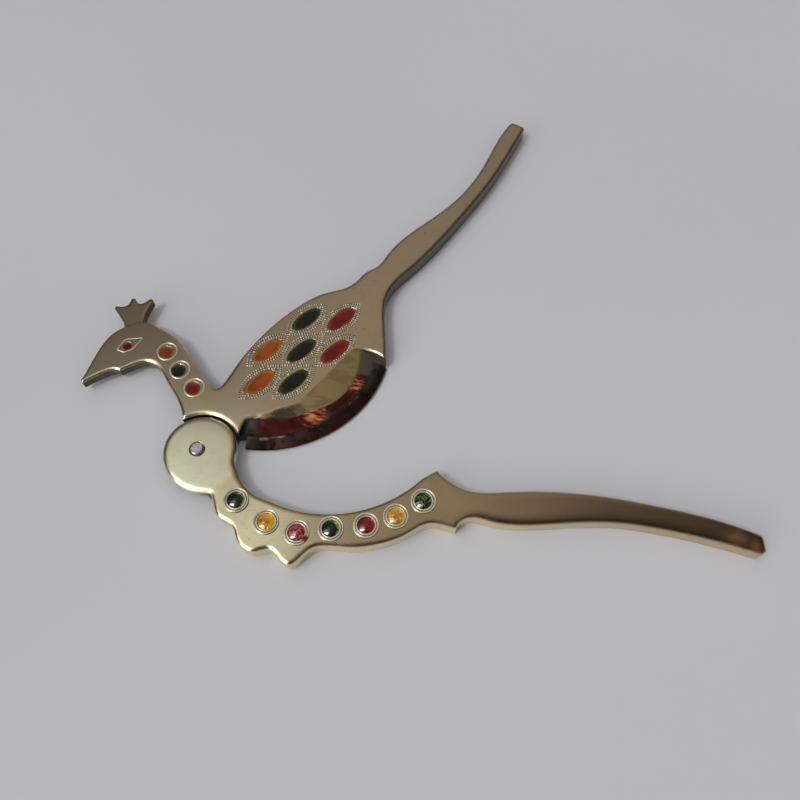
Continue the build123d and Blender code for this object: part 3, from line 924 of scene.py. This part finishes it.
# Shares of the dome's radius: the painted dark side's shift, and the painted glint's place and spread
GEM_SHADE_SHIFT = 0.35
GLINT_PLACE = (-0.45, -0.58)
GLINT_SPREAD = (0.34, 0.12)


def gem_dome(node, material, lit_angle):
    """A low glass dome in its bezel, with its painted lit side and painted glint kept on its points.

    lit_side grows from a place off the dome's middle, away from the lit angle; glint is a small painted white
    highlight.
    """
    mesh = bmesh.new()
    low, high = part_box(node)
    centre = centre_of(node)
    radius = (high.x - low.x) / 2
    rise = high.z - TOP - GEM_WALL
    lit_layer = mesh.verts.layers.float.new("lit_side")
    glint_layer = mesh.verts.layers.float.new("glint")
    shaded = Vector((cos(lit_angle), sin(lit_angle))) * -GEM_SHADE_SHIFT
    middle = mesh.verts.new((centre.x, centre.y, high.z))
    middle[lit_layer] = GEM_SHADE_SHIFT
    rings = []
    for step in range(1, GEM_RINGS + 2):
        share = min(step / GEM_RINGS, 1)
        z = high.z - rise * share ** 2 if step <= GEM_RINGS else TOP - GEM_SINK
        ring = []
        for k in range(GEM_SIDES):
            angle = tau * k / GEM_SIDES
            vertex = mesh.verts.new((
                centre.x + radius * share * cos(angle), centre.y + radius * share * sin(angle), z
            ))
            spot = Vector((cos(angle), sin(angle))) * share
            off = [(spot[i] - GLINT_PLACE[i]) / GLINT_SPREAD[i] for i in (0, 1)]
            vertex[lit_layer] = (spot - shaded).length
            vertex[glint_layer] = exp(-off[0] ** 2 - off[1] ** 2)
            ring.append(vertex)
        rings.append(ring)
    cover_rings(mesh, middle, rings)
    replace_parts(mesh_piece(f"{node}_dome", mesh, [material], LOWER_BODY), node)


# ---------------------------------------------------------------- the object
# Each enamel's deep shade, light shade and worn rim
ENAMEL_COLOURS = {
    "green_enamel": ((0.001, 0.004, 0.003), (0.003, 0.009, 0.004), (0.03, 0.05, 0.006)),
    "red_enamel": ((0.1, 0.003, 0.004), (0.19, 0.004, 0.005), (0.24, 0.04, 0.006)),
    "orange_enamel": ((0.2, 0.034, 0.005), (0.31, 0.06, 0.004), (0.36, 0.13, 0.01)),
    "russet_enamel": ((0.07, 0.012, 0.006), (0.22, 0.036, 0.006), (0.3, 0.08, 0.01)),
}
RUSSET_NODE = "neck_enamel_1"

# Each stone's body, its painted lit side and its foil
GREEN_STONE = ((0.004, 0.018, 0.009), (0.3, 0.42, 0.02), (0.5, 0.6, 0.2))
AMBER_STONE = ((0.42, 0.12, 0.012), (1.0, 0.5, 0.012), (1.0, 0.8, 0.25))
RED_STONE = ((0.16, 0.006, 0.008), (0.5, 0.018, 0.018), (0.85, 0.42, 0.36))

# Along the arm from the rivet: material, colours, crackle, crescent, angle of the painted lit side
STONE_LOOKS = [
    ("clear_green", GREEN_STONE, 0.0, (0.95, 1.32), 20),
    ("split_amber", AMBER_STONE, 0.3, (0.3, 0.95), 30),
    ("starry_red", RED_STONE, 1.0, (0.4, 1.3), 110),
    ("clear_green", GREEN_STONE, 0.0, (0.95, 1.32), 35),
    ("clear_red", RED_STONE, 0.15, (0.6, 1.3), 20),
    ("crackled_amber", AMBER_STONE, 1.0, (0.1, 1.3), 60),
    ("crackled_green", GREEN_STONE, 0.8, (1.1, 1.7), 0),
]


def enamels():
    """A pool in every pocket: long on the leaves, round on the neck and in the eye."""
    shades = {name: enamel_paint(name, *colours) for name, colours in ENAMEL_COLOURS.items()}
    shades["dark_green_enamel"] = shades["green_enamel"]
    for name in sorted(nodes):
        if "enamel" not in name:
            continue
        shade = shades["russet_enamel"] if name == RUSSET_NODE else shades[slots[name]]
        if name.startswith("leaf"):
            enamel_pool(name, shade, slots[name], *LEAF_POOL_SIZE, LEAF_POOL_TURN)
        else:
            low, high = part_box(name)
            radius = (high.x - low.x) / 2
            enamel_pool(name, shade, slots[name], radius, radius, 0.0)


def stones():
    """Each stone has its own crackle and its own painted lit side."""
    made = {}
    for number, (name, colours, crackle, crescent, angle) in enumerate(STONE_LOOKS, start=1):
        node = f"stone_{number}"
        if name not in made:
            made[name] = gem_glass(name, *colours, crackle, crescent)
        gem_dome(node, made[name], radians(angle))


def object_looks():
    """Materials for the CAD nodes, then the pieces that stand on them."""
    paint("upper_arm", upper_brass())
    paint("lower_arm", lower_brass())
    paint("blade", steel_blade())
    paint("pivot_rivet", rivet_steel())
    bezel = bezel_brass()
    for number in range(1, len(STONE_LOOKS) + 1):
        paint(f"stone_bezel_{number}", bezel)
    stones()
    enamels()
    leaf_borders([pale_brass("bead_brass", 0.05)[0], groove_shade_and_tarnish()])
    relief = pale_brass("relief_brass", 0.6)[0]
    neck_rings(relief)
    eye_rim(relief)


# ---------------------------------------------------------------- stage
CAMERA_HEIGHT = 0.21115
CAMERA_OFFSET = Vector((0.0641, -0.0858))
CAMERA_TILT = radians(26)
CAMERA_SENSOR_MM = 36
CAMERA_LENS_MM = 32.4
CAMERA_CLIP_START = 0.01
FLOOR_HALF_WIDTH = 4
BACKDROP_RADIUS = 3.9
BACKDROP_SIDES = 64


def add_camera():
    """The camera, in front of the rivet and looking down on the object at a slant."""
    data = bpy.data.cameras.new("camera")
    data.sensor_width = CAMERA_SENSOR_MM
    data.lens = CAMERA_LENS_MM
    data.clip_start = CAMERA_CLIP_START
    camera = bpy.data.objects.new("camera", data)
    camera.location = (*(PIVOT.xy + CAMERA_OFFSET), TOP + CAMERA_HEIGHT)
    camera.rotation_euler = (CAMERA_TILT, 0, 0)
    bpy.context.scene.collection.objects.link(camera)
    bpy.context.scene.camera = camera


def add_floor():
    """The level surface that the object lies on."""
    mesh = bmesh.new()
    bmesh.ops.create_grid(mesh, x_segments=1, y_segments=1, size=FLOOR_HALF_WIDTH)
    floor = make_object("floor", mesh, [floor_paint()])


def add_backdrop():
    """A pale wall round the floor that the camera sees and the brass doesn't mirror."""
    mesh = bmesh.new()
    bmesh.ops.create_cone(
        mesh, cap_ends=False, segments=BACKDROP_SIDES, radius1=BACKDROP_RADIUS,
        radius2=BACKDROP_RADIUS, depth=2 * BACKDROP_RADIUS,
    )
    backdrop = make_object("backdrop", mesh, [backdrop_paint()])
    backdrop.visible_diffuse = False
    backdrop.visible_glossy = False
    backdrop.visible_shadow = False


# Name, direction and distance from the origin, width, power in watts, colour
AREA_LIGHTS = [
    ("key", (-0.12, 0.25, 0.95), 0.9, 2.0, 5.0, (0.97, 0.985, 1.0)),
    ("fill", (0.78, -0.45, 0.45), 0.9, 1.0, 1.5, (1.0, 0.97, 0.95)),
]


def add_area_light(name, towards, distance, size, energy, colour):
    """A soft square panel, aimed at the origin, that the brass doesn't mirror."""
    data = bpy.data.lights.new(name, "AREA")
    data.size = size
    data.energy = energy
    data.color = colour
    light = bpy.data.objects.new(name, data)
    direction = Vector(towards).normalized()
    light.location = direction * distance
    light.rotation_euler = direction.to_track_quat("Z", "Y").to_euler()
    light.visible_glossy = False
    bpy.context.scene.collection.objects.link(light)


# The room as the brass mirrors it: direction, edge angles in degrees, radiance there. A later
# patch covers an earlier one.
ROOM_PATCHES = [
    ((0.75, 0.05, 0.6), (30, 50), (0.065, 0.052, 0.045)),  # dim, all of the right
    ((0.9, 0.2, 0.35), (28, 42), (0.02, 0.018, 0.018)),  # darker, low on the right
    ((-0.5, 0.6, 0.62), (15, 27), (0.1, 0.085, 0.075)),  # dim, back left
    ((-0.95, 0.15, 0.3), (34, 50), (0.02, 0.02, 0.022)),  # dark, low on the left
    ((0.35, -0.85, 0.38), (14, 30), (0.1, 0.085, 0.075)),  # dim, low in front
    ((0.27, -0.62, 0.73), (9, 17), (0.02, 0.015, 0.012)),  # dark, above that
    ((0.26, -0.05, 0.96), (4, 9), (0.3, 0.27, 0.2)),  # pale, overhead to the right
    ((-0.05, -0.5, 0.86), (16, 28), (0.05, 0.022, 0.02)),  # dark red, high in front
    ((-0.7, -0.65, 0.3), (12, 28), (2.4, 2.4, 2.3)),  # bright, low on the left in front
    ((-0.5, -0.15, 0.85), (13, 23), (1.9, 1.9, 1.9)),  # bright, high on the left
    ((-0.3, 0.225, 0.925), (7.5, 11.5), (0.67, 0.72, 0.74)),  # cool grey, overhead to the left
    ((-0.03, 0.02, 1.0), (5, 9), (0.05, 0.063, 0.068)),  # dark, straight overhead
    ((-0.46, -0.28, 0.83), (3.6, 5), (26.0, 26.0, 26.0)),  # a small bright lamp
]
ROOM_LOW = (0.04, 0.037, 0.036)
ROOM_HIGH = (0.25, 0.21, 0.185)


def add_room():
    """The world: a room that is paler overhead, with the patches laid over it."""
    world = bpy.data.worlds.new("room")
    bpy.context.scene.world = world
    world.use_nodes = True
    tree = world.node_tree
    tree.nodes.clear()
    direction = add_node(tree, "ShaderNodeTexCoord").outputs["Generated"]
    up = add_node(tree, "ShaderNodeSeparateXYZ", {0: direction}).outputs[2]
    colour = blend_colours(tree, remap(tree, up, 0.3, 0.66), ROOM_LOW, ROOM_HIGH)
    for towards, (inner, outer), radiance in ROOM_PATCHES:
        facing = add_node(
            tree, "ShaderNodeVectorMath",
            {0: direction, 1: Vector(towards).normalized()}, operation="DOT_PRODUCT",
        ).outputs["Value"]
        share = remap(tree, facing, cos(radians(outer)), cos(radians(inner)))
        colour = blend_colours(tree, share, colour, radiance)
    background = add_node(tree, "ShaderNodeBackground", {"Color": colour, "Strength": 1.0})
    output = add_node(tree, "ShaderNodeOutputWorld")
    tree.links.new(background.outputs[0], output.inputs[0])


add_camera()
add_floor()
add_backdrop()
add_room()
for light in AREA_LIGHTS:
    add_area_light(*light)
object_looks()
bpy.context.scene.view_settings.view_transform = "Standard"
